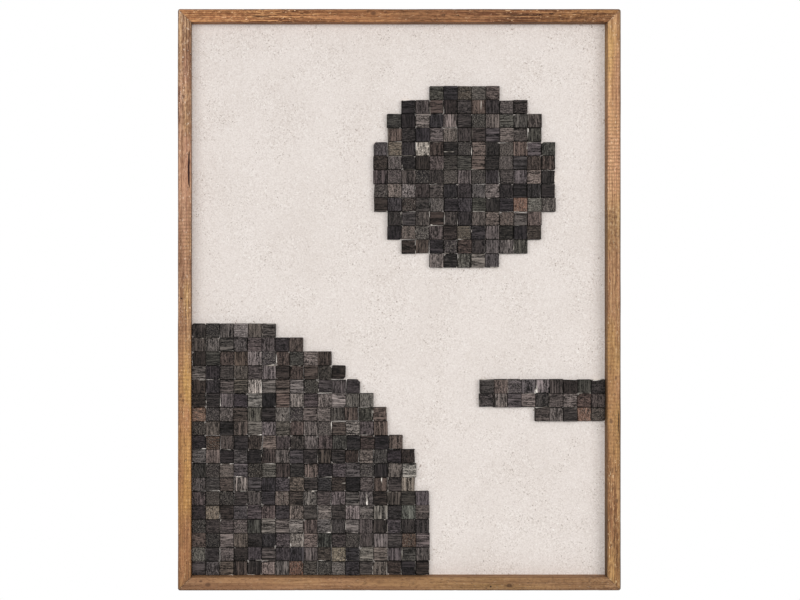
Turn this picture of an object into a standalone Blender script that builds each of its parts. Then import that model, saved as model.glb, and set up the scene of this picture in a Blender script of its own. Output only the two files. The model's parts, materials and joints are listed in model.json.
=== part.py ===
"""Wood relief wall panel.

A deep wooden tray frame holds a board that is faced with cream pulp paper. Dark weathered wood
squares, about an inch wide, are glued to the paper in rows, and make a rounded hill that rises
from the lower left corner, a disc above it and a stepped ledge on the right.

Metres, +Z up, +X to the right, and the front faces -Y. The origin is the centre of the top
rail's back face, which lies on the wall. Run with: blender --background --python part.py
"""
import math
import random

import bmesh
import bpy
from mathutils import Matrix, Vector

# ---- The frame ------------------------------------------------------------------------------
PANEL_WIDTH = 0.800
PANEL_HEIGHT = 1.050
RAIL_FACE = 0.024         # width of a rail, seen from the front
RAIL_DEPTH = 0.045        # from the wall to the front of the rails
CORNER_RADIUS = 0.004     # worn outer corners, seen from the front
ARRIS = 0.0018            # rounding of the front edges
GAP = 0.0003              # clearance between pieces that touch

# ---- The panel inside it --------------------------------------------------------------------
RECESS = 0.025            # from the front of the rails down to the paper
PAPER_THICKNESS = 0.0012
BOARD_THICKNESS = 0.006
GROOVE_DEPTH = 0.006      # how far the rails' groove goes in behind their inner faces
GROOVE_CLEARANCE = 0.0005

# ---- The squares ----------------------------------------------------------------------------
PITCH = 0.0254            # one square and one joint
JOINT = 0.0005
SQUARE = PITCH - JOINT
SQUARE_THICKNESS = 0.009
THICKNESS_SPREAD = 0.0015
WIDTH_SPREAD = 0.00035
JOINT_DEPTH = 0.003       # how deep the worn joint between two squares opens

HILL_COLUMNS = 17.5       # half axes of the hill's quarter ellipse, in squares
HILL_ROWS = 18.5
DISC_RADIUS = 6.5         # in squares
DISC_COLUMN = 19.5        # centre of the disc, in squares from the left rail
DISC_ROW = 28             # its middle row, counted up from the bottom rail
LEDGE_ROW = 11            # the ledge's lowest row
LEDGE_COUNTS = (5, 9, 9)  # its rows, from the lowest up

# ---- The hangers ----------------------------------------------------------------------------
HANGER_X = 0.250          # from the middle of the panel
HANGER_LENGTH = 0.048
HANGER_WIDTH = 0.009
HANGER_PLATE = 0.001
HANGER_RISE = 0.0022      # how far its middle stands off the wood, for the head of a wall nail
HANGER_FLAT = 0.011       # length of each flat end
HANGER_RAMP = 0.003
HANGER_TOP = 0.003        # upper edge of the plate
TEETH = 7
TOOTH_DEPTH = 0.0015
NOTCH_LENGTH = 0.056
NOTCH_DEPTH = 0.005
NOTCH_TOP = 0.004
NAIL_HEAD_RADIUS = 0.0018
NAIL_HEAD = 0.0008
NAIL_RADIUS = 0.0007
NAIL_LENGTH = 0.009
NAIL_HOLE_RADIUS = 0.0010
NAIL_SIDES = 10

# ---- Places worked out from them ------------------------------------------------------------
TOP = RAIL_FACE / 2
BOTTOM = TOP - PANEL_HEIGHT
INNER_X = PANEL_WIDTH / 2 - RAIL_FACE
INNER_TOP = TOP - RAIL_FACE
INNER_BOTTOM = BOTTOM + RAIL_FACE
MIDDLE_Z = (TOP + BOTTOM) / 2
PAPER_FRONT = RECESS - RAIL_DEPTH
PAPER_BACK = PAPER_FRONT + PAPER_THICKNESS
BOARD_FRONT = PAPER_BACK + GAP
BOARD_BACK = BOARD_FRONT + BOARD_THICKNESS


def material(name, colour, roughness, metallic=0.0):
    """One plain finish; colour is linear red, green and blue."""
    made = bpy.data.materials.new(name)
    made.use_nodes = True
    shader = made.node_tree.nodes["Principled BSDF"]
    shader.inputs["Base Color"].default_value = (*colour, 1.0)
    shader.inputs["Roughness"].default_value = roughness
    shader.inputs["Metallic"].default_value = metallic
    return made


def add_object(name, bm, finish=None):
    """Make the bmesh an object of the scene, with its faces turned as they are."""
    mesh = bpy.data.meshes.new(name)
    bm.to_mesh(mesh)
    bm.free()
    if finish is not None:
        mesh.materials.append(finish)
    made = bpy.data.objects.new(name, mesh)
    bpy.context.scene.collection.objects.link(made)
    return made


def add_solid(name, bm, finish=None):
    """Make a closed bmesh an object of the scene, with its faces pointing out."""
    bmesh.ops.recalc_face_normals(bm, faces=bm.faces)
    return add_object(name, bm, finish)


def extruded(points, sweep):
    """A prism: the closed outline swept along a vector. Returns its bmesh and first vertices."""
    bm = bmesh.new()
    corners = [bm.verts.new(point) for point in points]
    face = bm.faces.new(corners)
    swept = bmesh.ops.extrude_face_region(bm, geom=[face], use_keep_orig=True)
    moved = [item for item in swept["geom"] if isinstance(item, bmesh.types.BMVert)]
    bmesh.ops.translate(bm, verts=moved, vec=sweep)
    return bm, corners


def box(name, low, high, finish=None):
    """A plain block between two corners."""
    bm = bmesh.new()
    size = Vector(high) - Vector(low)
    centre = (Vector(high) + Vector(low)) / 2
    bmesh.ops.create_cube(bm, size=1.0, matrix=Matrix.Translation(centre) @ Matrix.Diagonal((*size, 1)))
    return add_solid(name, bm, finish)


def as_cutter(cutter):
    """A tool for Boolean cuts, which isn't part of the panel."""
    cutter.hide_render = True
    cutter.display_type = "WIRE"
    return cutter


def cut(piece, cutter):
    """Take the cutter's shape out of a piece."""
    boolean = piece.modifiers.new(cutter.name, "BOOLEAN")
    boolean.operation = "DIFFERENCE"
    boolean.object = cutter


# ---- Rails: four lengths of old softwood, mitred at the corners ------------------------------
def mitred_outline(length):
    """A rail seen from the front: its outer edge is at +Z, and each tip is an eighth of a circle.

    The mitre is drawn back by half the clearance, which also ends the tip's arc a little early.
    """
    half, face = length / 2, RAIL_FACE / 2
    drawn_back = GAP / math.sqrt(2)
    first_angle = math.pi / 4 + GAP / 2 / CORNER_RADIUS
    steps = 4
    tip = [(half - RAIL_FACE - drawn_back, -face)]
    for step in range(steps + 1):
        angle = first_angle + (math.pi / 2 - first_angle) * step / steps
        tip.append((half - CORNER_RADIUS * (1 - math.cos(angle)),
                    face - CORNER_RADIUS * (1 - math.sin(angle))))
    return tip + [(-x, z) for x, z in reversed(tip)]


def rail(name, length, x, z, turn, finish):
    """One mitred rail with eased front edges, turned about Y from the top rail's position."""
    outline = mitred_outline(length)
    bm, front = extruded([(px, -RAIL_DEPTH, pz) for px, pz in outline], (0, RAIL_DEPTH, 0))
    count = len(front)
    mitres = (0, count - 2)
    eased = [bm.edges.get((front[i], front[(i + 1) % count])) for i in range(count) if i not in mitres]
    bmesh.ops.bevel(bm, geom=eased, offset=ARRIS, segments=2, profile=0.5, affect="EDGES")
    made = add_solid(name, bm, finish)
    made.location = (x, 0, z)
    made.rotation_euler = (0, turn, 0)
    return made


# ---- Relief: runs of wood squares glued side by side ------------------------------------------
def hill_count(row):
    """Squares in one row of the hill, whose outline is a quarter ellipse."""
    height = (row + 0.5) / HILL_ROWS
    return int(HILL_COLUMNS * math.sqrt(max(0.0, 1 - height * height)) + 0.5)


def disc_count(row):
    """Squares in one row of the disc, counted from its middle row."""
    return 2 * int(math.sqrt(DISC_RADIUS * DISC_RADIUS - row * row)) + 1


def relief_runs():
    """Every run of squares: its name, the squares in it, its row and the x where it starts or ends.

    The hill's runs start at the left rail, the ledge's end at the right rail, and the disc's
    are centred.
    """
    left, right = -INNER_X + JOINT, INNER_X - JOINT
    for row in range(int(HILL_ROWS)):
        yield f"hill_row_{row + 1:02d}", hill_count(row), row, left, 0.0
    reach = int(DISC_RADIUS)
    for row in range(-reach, reach + 1):
        middle = left + DISC_COLUMN * PITCH
        yield f"disc_row_{row + reach + 1:02d}", disc_count(row), DISC_ROW + row, middle, 0.5
    for row, count in enumerate(LEDGE_COUNTS):
        yield f"ledge_row_{row + 1:02d}", count, LEDGE_ROW + row, right, 1.0


def run_of_squares(name, count, row, anchor, share_left, dice, finish):
    """One run as a stepped profile, carried over the height of a square.

    Each square has its own thickness and width, and a narrow joint opens between neighbours.
    share_left is the share of the run's length that lies to the left of the anchor.
    """
    widths = [SQUARE + dice.uniform(-WIDTH_SPREAD, WIDTH_SPREAD) for _ in range(count)]
    fronts = [-SQUARE_THICKNESS - dice.uniform(-THICKNESS_SPREAD, THICKNESS_SPREAD) for _ in range(count)]
    profile = []
    x = 0.0
    for index in range(count):
        profile += [(x, fronts[index]), (x + widths[index], fronts[index])]
        x += widths[index]
        if index + 1 < count:
            lower_front = max(fronts[index], fronts[index + 1])
            profile.append((x + JOINT / 2, lower_front + JOINT_DEPTH))
            x += JOINT
    profile += [(x, 0.0), (0.0, 0.0)]
    bm, _ = extruded([(px, py, -SQUARE / 2) for px, py in profile], (0, 0, SQUARE))
    made = add_solid(name, bm, finish)
    middle_z = INNER_BOTTOM + JOINT + row * PITCH + SQUARE / 2
    made.location = (anchor - share_left * x, PAPER_FRONT - GAP, middle_z)
    return made


# ---- Hangers: toothed steel plates nailed into notches in the top rail's back -----------------
def hanger(name, x, finish):
    """A sawtooth hanger. Its middle stands off the wood, and its lower edge there has teeth."""
    half, raised = HANGER_LENGTH / 2, HANGER_LENGTH / 2 - HANGER_FLAT - HANGER_RAMP
    flat_end = half - HANGER_FLAT
    stations = [(-half, 0.0, 0.0), (-flat_end, 0.0, 0.0)]
    for step in range(2 * TEETH + 1):
        along = -raised + 2 * raised * step / (2 * TEETH)
        stations.append((along, HANGER_RISE, TOOTH_DEPTH * (step % 2)))
    stations += [(flat_end, 0.0, 0.0), (half, 0.0, 0.0)]
    bm = bmesh.new()
    edges = []
    for along, rise, tooth in stations:
        upper = bm.verts.new((along, rise, HANGER_WIDTH / 2))
        lower = bm.verts.new((along, rise, -HANGER_WIDTH / 2 + tooth))
        edges.append(bm.edges.new((upper, lower)))
    for first, second in zip(edges, edges[1:]):
        bmesh.ops.bridge_loops(bm, edges=[first, second])
    bmesh.ops.recalc_face_normals(bm, faces=bm.faces)
    bm.faces.ensure_lookup_table()
    if bm.faces[0].normal.y < 0:
        bmesh.ops.reverse_faces(bm, faces=bm.faces)
    made = add_object(name, bm, finish)
    made.location = (x, GAP - NOTCH_DEPTH, HANGER_TOP - HANGER_WIDTH / 2)
    thickness = made.modifiers.new("plate", "SOLIDIFY")
    thickness.thickness = HANGER_PLATE
    thickness.offset = 1.0
    return made


def nail_hole(name, x, z, depth):
    """A cutter for a nail's hole through a hanger and into the rail."""
    bm = bmesh.new()
    bmesh.ops.create_cone(bm, cap_ends=True, segments=8, radius1=NAIL_HOLE_RADIUS,
                          radius2=NAIL_HOLE_RADIUS, depth=2 * depth,
                          matrix=Matrix.Rotation(math.pi / 2, 4, "X"))
    made = as_cutter(add_solid(name, bm))
    made.location = (x, -NOTCH_DEPTH, z)
    return made


def nail(name, x, z, finish):
    """A small round-headed nail, driven towards the front. Its head lies on the hanger's end."""
    bm = bmesh.new()
    bmesh.ops.create_circle(bm, cap_ends=True, segments=NAIL_SIDES, radius=NAIL_HEAD_RADIUS,
                            matrix=Matrix.Rotation(math.pi / 2, 4, "X"))
    swept = bmesh.ops.extrude_face_region(bm, geom=bm.faces[:], use_keep_orig=True)
    moved = [item for item in swept["geom"] if isinstance(item, bmesh.types.BMVert)]
    underside = [item for item in swept["geom"] if isinstance(item, bmesh.types.BMFace)]
    bmesh.ops.translate(bm, verts=moved, vec=(0, -NAIL_HEAD, 0))
    bmesh.ops.inset_region(bm, faces=underside, thickness=NAIL_HEAD_RADIUS - NAIL_RADIUS)
    swept = bmesh.ops.extrude_face_region(bm, geom=underside)
    moved = [item for item in swept["geom"] if isinstance(item, bmesh.types.BMVert)]
    bmesh.ops.delete(bm, geom=underside, context="FACES_ONLY")
    bmesh.ops.translate(bm, verts=moved, vec=(0, -NAIL_LENGTH, 0))
    made = add_solid(name, bm, finish)
    made.location = (x, 2 * GAP + HANGER_PLATE - NOTCH_DEPTH + NAIL_HEAD, z)
    return made


def build():
    for leftover in list(bpy.data.objects):
        bpy.data.objects.remove(leftover, do_unlink=True)

    old_wood = material("old_wood", (0.36, 0.20, 0.11), 0.65)
    plywood = material("plywood", (0.50, 0.36, 0.22), 0.75)
    pulp_paper = material("pulp_paper", (0.76, 0.70, 0.65), 0.95)
    steel = material("zinc_plated_steel", (0.55, 0.55, 0.54), 0.40, 1.0)
    dark_woods = [material("dark_wood_grey", (0.060, 0.052, 0.048), 0.70),
                  material("dark_wood_brown", (0.058, 0.042, 0.032), 0.70)]

    # the frame, with one groove all round for the panel
    across, up = PANEL_WIDTH / 2 - RAIL_FACE / 2, PANEL_HEIGHT / 2 - RAIL_FACE / 2
    rails = {
        "rail_top": rail("rail_top", PANEL_WIDTH, 0, MIDDLE_Z + up, 0, old_wood),
        "rail_bottom": rail("rail_bottom", PANEL_WIDTH, 0, MIDDLE_Z - up, math.pi, old_wood),
        "rail_left": rail("rail_left", PANEL_HEIGHT, -across, MIDDLE_Z, -math.pi / 2, old_wood),
        "rail_right": rail("rail_right", PANEL_HEIGHT, across, MIDDLE_Z, math.pi / 2, old_wood),
    }
    groove = as_cutter(box("groove_cutter",
                           (-INNER_X - GROOVE_DEPTH, PAPER_FRONT - GAP, INNER_BOTTOM - GROOVE_DEPTH),
                           (INNER_X + GROOVE_DEPTH, BOARD_BACK + GAP, INNER_TOP + GROOVE_DEPTH)))
    for piece in rails.values():
        cut(piece, groove)

    # the panel, whose edges sit in the groove
    edge = GROOVE_DEPTH - GROOVE_CLEARANCE
    for name, front, back, finish in (("paper_ground", PAPER_FRONT, PAPER_BACK, pulp_paper),
                                      ("backing_board", BOARD_FRONT, BOARD_BACK, plywood)):
        box(name, (-INNER_X - edge, front, INNER_BOTTOM - edge),
            (INNER_X + edge, back, INNER_TOP + edge), finish)

    # the relief
    dice = random.Random(31)
    for index, (name, count, row, anchor, share_left) in enumerate(relief_runs()):
        run_of_squares(name, count, row, anchor, share_left, dice, dark_woods[index % 2])

    # the hangers, let into the back of the top rail
    for side, x in (("left", -HANGER_X), ("right", HANGER_X)):
        notch = as_cutter(box(f"notch_cutter_{side}",
                              (x - NOTCH_LENGTH / 2, -NOTCH_DEPTH, INNER_TOP - NOTCH_DEPTH),
                              (x + NOTCH_LENGTH / 2, NOTCH_DEPTH, NOTCH_TOP)))
        cut(rails["rail_top"], notch)
        plate = hanger(f"hanger_{side}", x, steel)
        for end, offset in (("outer", math.copysign(1, x)), ("inner", -math.copysign(1, x))):
            nail_x = x + offset * (HANGER_LENGTH - HANGER_FLAT) / 2
            nail_z = HANGER_TOP - HANGER_WIDTH / 2
            hole = nail_hole(f"nail_hole_cutter_{side}_{end}", nail_x, nail_z,
                             NAIL_LENGTH - HANGER_PLATE + 2 * GAP)
            cut(rails["rail_top"], hole)
            cut(plate, hole)
            nail(f"hanger_{side}_nail_{end}", nail_x, nail_z, steel)


build()
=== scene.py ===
"""Wood relief wall panel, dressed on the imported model.

A deep tray frame of old mitred softwood holds a plywood board faced with cream pulp paper. Dark
weathered wood squares are glued to the paper in rows: a hill in the lower left corner, a disc
above it and a stepped ledge at the right. Two toothed steel plates hang it on the wall.

Metres, +Z up, and the front faces -Y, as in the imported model.
"""
import json
import math

import bpy
import numpy as np
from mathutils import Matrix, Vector

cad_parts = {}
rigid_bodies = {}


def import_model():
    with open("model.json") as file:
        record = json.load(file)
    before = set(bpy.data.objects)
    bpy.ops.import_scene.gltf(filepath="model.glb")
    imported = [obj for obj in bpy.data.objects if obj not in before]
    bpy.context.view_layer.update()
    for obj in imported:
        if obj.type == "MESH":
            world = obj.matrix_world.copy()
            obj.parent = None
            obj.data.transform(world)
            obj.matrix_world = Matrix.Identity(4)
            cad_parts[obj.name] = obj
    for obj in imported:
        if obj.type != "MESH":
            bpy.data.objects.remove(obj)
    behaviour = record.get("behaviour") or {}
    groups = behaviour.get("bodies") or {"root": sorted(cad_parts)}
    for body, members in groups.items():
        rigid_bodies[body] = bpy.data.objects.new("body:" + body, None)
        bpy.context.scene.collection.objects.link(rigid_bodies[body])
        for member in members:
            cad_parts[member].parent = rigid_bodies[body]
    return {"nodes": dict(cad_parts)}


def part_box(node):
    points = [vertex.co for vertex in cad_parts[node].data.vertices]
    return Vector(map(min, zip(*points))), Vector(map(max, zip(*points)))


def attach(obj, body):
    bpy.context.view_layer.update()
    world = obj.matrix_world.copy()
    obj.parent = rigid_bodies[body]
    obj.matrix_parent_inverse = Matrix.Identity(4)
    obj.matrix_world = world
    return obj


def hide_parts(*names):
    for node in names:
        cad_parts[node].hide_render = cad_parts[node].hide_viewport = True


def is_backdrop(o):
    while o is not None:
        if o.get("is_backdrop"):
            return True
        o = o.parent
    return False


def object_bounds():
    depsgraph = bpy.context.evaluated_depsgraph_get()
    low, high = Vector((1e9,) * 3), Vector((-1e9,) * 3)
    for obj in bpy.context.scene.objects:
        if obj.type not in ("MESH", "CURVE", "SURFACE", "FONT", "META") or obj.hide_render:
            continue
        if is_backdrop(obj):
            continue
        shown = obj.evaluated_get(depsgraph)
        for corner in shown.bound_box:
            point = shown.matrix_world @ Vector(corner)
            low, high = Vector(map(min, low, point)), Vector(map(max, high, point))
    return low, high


for leftover in list(bpy.data.objects):
    bpy.data.objects.remove(leftover, do_unlink=True)
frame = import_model()
packed_low, packed_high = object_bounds()

# ---- Room ------------------------------------------------------------------------------------
# The panel hangs before plain white, square on to the viewer, who stands a little left of its
# middle and above it. Three broad soft lights stand left, right and before it and a weak one
# behind, and a pale round floor lies under it.
panel_height = packed_high.z - packed_low.z
panel_middle = (packed_low + packed_high) / 2
view_width, view_height = 800, 600
share_of_view = 0.9699
viewer_distance = 2.45
viewer_aside = 0.19
viewer_above = 0.045
shift_aside, shift_down = 0.0008, 0.0003
film_width = 36.0
seen_width = panel_height / share_of_view * view_width / view_height

viewer = bpy.data.objects.new("viewer", bpy.data.cameras.new("viewer"))
viewer.data.sensor_width = film_width
viewer.data.lens = film_width * viewer_distance / seen_width
viewer.data.shift_x = viewer_aside / seen_width + shift_aside
viewer.data.shift_y = -viewer_above / seen_width - shift_down
viewer.location = (panel_middle.x - viewer_aside, packed_low.y - viewer_distance,
                   panel_middle.z + viewer_above)
viewer.rotation_euler = (math.pi / 2, 0, 0)
bpy.context.scene.collection.objects.link(viewer)
bpy.context.scene.camera = viewer
bpy.context.scene.view_settings.view_transform = "Standard"


class Shade:
    """A value or colour in a finish. Sums on it, with numbers on either side, add Math nodes."""

    def __init__(self, tree, socket=None):
        self.tree = tree
        self.socket = socket

    def node(self, kind, settings=None, sockets=None, output=0):
        """Add a node: first its settings are set, then its sockets get values or links."""
        made = self.tree.nodes.new(kind)
        for name, value in (settings or {}).items():
            setattr(made, name, value)
        for name, value in (sockets or {}).items():
            if isinstance(value, Shade):
                self.tree.links.new(value.socket, made.inputs[name])
            else:
                made.inputs[name].default_value = value
        return Shade(self.tree, made.outputs[output])

    def beside(self, output):
        """Another output of the node that this one comes from."""
        return Shade(self.tree, self.socket.node.outputs[output])

    def maths(self, operation, first, second):
        """A Math node on two values."""
        return self.node("ShaderNodeMath", {"operation": operation}, {0: first, 1: second})

    def __add__(self, other):
        return self.maths("ADD", self, other)

    def __radd__(self, other):
        return self.maths("ADD", other, self)

    def __sub__(self, other):
        return self.maths("SUBTRACT", self, other)

    def __rsub__(self, other):
        return self.maths("SUBTRACT", other, self)

    def __mul__(self, other):
        return self.maths("MULTIPLY", self, other)

    def __rmul__(self, other):
        return self.maths("MULTIPLY", other, self)


def finish_for(name):
    """A new material: itself, the start of its node tree, and its shader."""
    finish = bpy.data.materials.new(name)
    finish.use_nodes = True
    return finish, Shade(finish.node_tree), finish.node_tree.nodes["Principled BSDF"]


ambient_light = 0.31
room = bpy.data.worlds.new("room")
bpy.context.scene.world = room
room.use_nodes = True
seen_directly = Shade(room.node_tree).node("ShaderNodeLightPath", output="Is Camera Ray")
backdrop = room.node_tree.nodes["Background"]
backdrop.inputs["Color"].default_value = (1.0, 1.0, 1.0, 1.0)
backdrop_strength = ambient_light + (1.0 - ambient_light) * seen_directly
room.node_tree.links.new(backdrop_strength.socket, backdrop.inputs["Strength"])


def soft_light(name, place, width, height, watts):
    """A broad rectangular light that faces the middle of the panel."""
    lamp = bpy.data.lights.new(name, "AREA")
    lamp.shape = "RECTANGLE"
    lamp.size, lamp.size_y = width, height
    lamp.energy = watts
    stand = bpy.data.objects.new(name, lamp)
    stand.location = place
    stand.rotation_euler = (panel_middle - Vector(place)).to_track_quat("-Z", "Y").to_euler()
    stand.visible_camera = False
    bpy.context.scene.collection.objects.link(stand)


soft_light("light_left", (-2.1, -3.2, 0.05), 2.0, 2.2, 34.5)
soft_light("light_right", (2.3, -3.2, 0.05), 2.4, 2.2, 52.0)
soft_light("light_before", (-0.4, -4.2, 0.05), 1.6, 1.6, 53.0)
soft_light("light_behind", (0.8, 3.0, 0.6), 2.0, 1.6, 60.0)

floor_drop = 0.31
floor_radius = 1.1
floor_sides = 96
turns = np.linspace(0, 2 * math.pi, floor_sides + 1)[:-1]
floor_points = np.stack([floor_radius * np.cos(turns), floor_radius * np.sin(turns),
                         np.full(floor_sides, packed_low.z - floor_drop)], axis=1)
floor_mesh = bpy.data.meshes.new("floor")
floor_mesh.from_pydata(floor_points.tolist(), [], [list(range(floor_sides))])
floor_paint, _, floor_shader = finish_for("floor_paint")
floor_shader.inputs["Base Color"].default_value = (0.8, 0.8, 0.79, 1)
floor_shader.inputs["Roughness"].default_value = 0.8
floor_mesh.materials.append(floor_paint)
floor = bpy.data.objects.new("floor", floor_mesh)
bpy.context.scene.collection.objects.link(floor)
floor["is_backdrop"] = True

# ---- Rails -----------------------------------------------------------------------------------
# Four lengths of old softwood, planed long ago, stained by age and knocked about. They are
# mitred at the corners, which have worn round, and a groove all round behind the inner faces
# holds the panel.
mitre_gap = 0.00002
groove_gap = 0.0003
groove_depth = 0.006
corner_radius = 0.004
arris = 0.0018
ring_step = 0.0024
grain_step = 1.7
sharp_angle = math.radians(42)
rail_low, rail_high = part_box("rail_top")
rail_face, rail_depth = rail_high.z - rail_low.z, rail_high.y - rail_low.y
groove_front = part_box("paper_ground")[0].y - groove_gap
groove_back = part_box("backing_board")[1].y + groove_gap


def drift(u, v, seed):
    """Smooth chance heights from -1 to 1, from a table that repeats after 256 steps.

    Each whole (u, v) has its own height, and between them it follows 3t^2 - 2t^3 both ways. What
    is added to u or v where this is called only picks another stretch of the table.
    """
    size = 256
    table = np.random.default_rng(seed).uniform(-1, 1, (size, size))
    column, row = np.floor(u).astype(int), np.floor(v).astype(int)
    across, up = u - column, v - row
    across, up = across * across * (3 - 2 * across), up * up * (3 - 2 * up)
    column, row = column % size, row % size
    after, above = (column + 1) % size, (row + 1) % size
    lower = table[column, row] * (1 - across) + table[after, row] * across
    upper = table[column, above] * (1 - across) + table[after, above] * across
    return lower * (1 - up) + upper * up


def rail_section():
    """The closed outline of a rail cut across, from its outer side back, round and to the front.

    Each point has its distance in from the outer side, its depth, the direction into the wood,
    how far wear may reach, how much of the map it gets, and how much darker it is made, where
    1 stands for the inner wall, which gets its own painted shade on each rail but the bottom
    one, where it gets painted light. Straight stretches are evenly divided and the front edges
    are quarter circles.
    """
    inner, front, slot = rail_face, -rail_depth, rail_face - groove_depth
    stretches = [
        ((0, front + arris), (0, 0), 10, (1, 0), 1.0, 1.0, 0.2),
        ((0, 0), (inner, 0), 4, (0, -1), 0.0, 0.3, 0.0),
        ((inner, 0), (inner, groove_back), 1, (-1, 0), 0.0, 0.3, 0.0),
        ((inner, groove_back), (slot, groove_back), 1, (0, 1), 0.0, 0.1, 0.0),
        ((slot, groove_back), (slot, groove_front), 1, (-1, 0), 0.0, 0.1, 0.0),
        ((slot, groove_front), (inner, groove_front), 1, (0, -1), 0.0, 0.1, 0.0),
        # the inner wall, marked 1 for the painted shade each rail gives it; the bottom rail gives painted
        # light instead
        ((inner, groove_front), (inner, front + arris), 8, (-1, 0), 0.4, 1.0, 1.0),
    ]
    face_steps, arc_steps = 18, 4
    arcs = [math.pi / 2 * k / arc_steps for k in range(arc_steps)]
    rows = [[*(np.array(a) + (np.array(b) - np.array(a)) * k / n), *inward, wear, share, edge]
            for a, b, n, inward, wear, share, edge in stretches for k in range(n)]
    rows += [[inner - arris * (1 - math.cos(turn)), front + arris * (1 - math.sin(turn)),
              -math.cos(turn), math.sin(turn), 1.0, 1.0, 0.0] for turn in arcs]
    rows += [[inner - arris - (inner - 2 * arris) * k / face_steps, front, 0, 1, 1.0, 1.0, 0.0]
             for k in range(face_steps)]
    rows += [[arris * (1 - math.sin(turn)), front + arris * (1 - math.cos(turn)),
              math.sin(turn), math.cos(turn), 1.0, 1.0, (k + 1) / arc_steps * 0.8]
             for k, turn in enumerate(arcs)]
    return np.array(rows, float)


def worn_places(section, girth, share, half, seed):
    """How far along, how far in and how deep each point of a rail lies, rings by section points.

    A point at share g of the way from the middle to a mitre, and at distance d inside the outer
    side, lies at g (half - d) along the rail. Nearer the outer side than the corner radius r it
    goes straight to half - r and then round a circle of radius r - d to the mitre plane.
    Wear moves it into the wood: long low ridges of grain, gentle hollows, and dents, which are
    deepest on the edges.
    """
    d, y, inward_d, inward_y, may_wear = (section[None, :, k] for k in range(5))
    reach = share * half
    ridges = (drift(reach * 9 + 40, girth * 420, seed) * 0.5
              + drift(reach * 22 + 9, girth * 900, seed + 1) * 0.3)
    hollows = drift(reach * 14 + 70, girth * 30, seed + 2)
    on_edge = (np.abs(inward_d * inward_y) > 0.05) * 1.0
    dents = np.clip(drift(reach * 70 + 11, girth * 120, seed + 3) - 0.55, 0, 1) / 0.45
    ridge_depth, hollow_depth, dent_depth = 0.00014, 0.00022, 0.0009
    wear = may_wear * (ridge_depth * (ridges + 0.8) + hollow_depth * (hollows + 1)
                       + dent_depth * dents * (0.25 + 0.75 * on_edge))
    d = d + wear * inward_d
    y = y + wear * inward_y
    rounding = np.clip(corner_radius - d, 0, None)
    straight = half - np.maximum(d, corner_radius)
    travel = np.abs(share) * (straight + rounding * math.pi / 4)
    turn = np.where(rounding > 1e-7, np.clip(travel - straight, 0, None) / np.maximum(rounding, 1e-7), 0)
    s = np.sign(share) * (np.minimum(travel, straight) + rounding * np.sin(turn))
    s = s * (1 - mitre_gap / half)
    d = np.where(rounding > 0, corner_radius - rounding * np.cos(turn), d)
    return np.broadcast_arrays(s, d, y)


def rail_net(section, steps, along):
    """The faces of a rail, with one at each mitre, and where their corners lie in the map.

    The map folds the rail into four strips, and keeps a fifth, narrow one for the mitres.
    """
    around = len(section)
    i, j = np.meshgrid(np.arange(along), np.arange(around), indexing="ij")
    corners = np.stack([i * around + j, (i + 1) * around + j,
                        (i + 1) * around + (j + 1) % around, i * around + (j + 1) % around], axis=-1)
    faces = corners.reshape(-1, 4).tolist()
    faces += [list(range(around)), [along * around + k for k in reversed(range(around))]]
    strips, strip_height = 4, 0.24
    side_margin, strip_margin = 0.005, 0.02
    per_strip = math.ceil(along / strips)
    shares = np.concatenate([[0], np.cumsum(steps * section[:, 5])])
    shares = shares / shares[-1]
    strip = i // per_strip
    left, right = (i - strip * per_strip) / per_strip, (i + 1 - strip * per_strip) / per_strip
    low, high = shares[j], shares[j + 1]
    u = np.stack([left, right, right, left], axis=-1) * (1 - 2 * side_margin) + side_margin
    v = np.stack([low, low, high, high], axis=-1) * (1 - 2 * strip_margin) + strip_margin
    v = (strip[..., None] + v) * strip_height
    mitre = np.stack([section[:, 0] * 3, (section[:, 1] + rail_depth) * 0.8 + 0.962], axis=1)
    return faces, np.concatenate([np.stack([u, v], axis=-1).reshape(-1, 2),
                                  mitre + (0.01, 0), mitre[::-1] + (0.2, 0)])


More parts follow.
